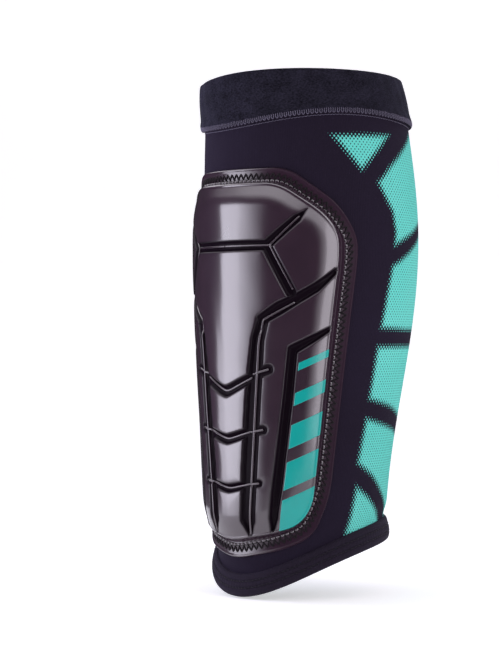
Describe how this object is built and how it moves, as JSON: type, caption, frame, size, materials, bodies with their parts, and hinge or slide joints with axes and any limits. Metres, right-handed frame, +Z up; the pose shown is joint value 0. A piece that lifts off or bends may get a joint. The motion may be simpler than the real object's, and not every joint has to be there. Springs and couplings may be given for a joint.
{
  "type": "shin guard",
  "caption": "Sleeve-type shin guard: a knit leg sleeve with a plush cuff and a moulded relief shell stitched over foam on its front.",
  "frame": {"origin": "on the leg's line, level with the lowest point of the hem", "axes": "+Z up the leg, -Y out of the front of the shin, +X to the outer side of the leg (a left leg)"},
  "size_m": [0.1186, 0.1297, 0.2858],
  "materials": {
    "knit": "matt compression knit, navy-black with teal mesh zones",
    "plush_elastic": "brushed plush elastic",
    "elastic_webbing": "woven elastic webbing",
    "hem_knit": "folded knit",
    "thread": "twisted polyester thread",
    "moulded_shell": "glossy moulded TPU",
    "stripe_film": "glossy teal film",
    "eva_foam": "closed-cell EVA foam"
  },
  "bodies": {
    "root": {"knit_sleeve": "knit", "cuff_band": "plush_elastic", "cuff_elastic": "elastic_webbing", "cuff_seam_thread": "thread", "hem_band": "hem_knit", "hem_thread_upper": "thread", "hem_thread_lower": "thread", "outer_shell": "moulded_shell", "stripe_films": "stripe_film", "shell_stitch_thread": "thread", "foam_backing": "eva_foam", "foam_crown": "eva_foam", "foam_shield": "eva_foam", "foam_shoulder_outer": "eva_foam", "foam_shoulder_inner": "eva_foam", "foam_rail_outer": "eva_foam", "foam_rail_inner": "eva_foam", "foam_side_outer": "eva_foam", "foam_side_inner": "eva_foam", "foam_chevron_1": "eva_foam", "foam_chevron_2": "eva_foam", "foam_chevron_3": "eva_foam"}
  },
  "joints": []
}
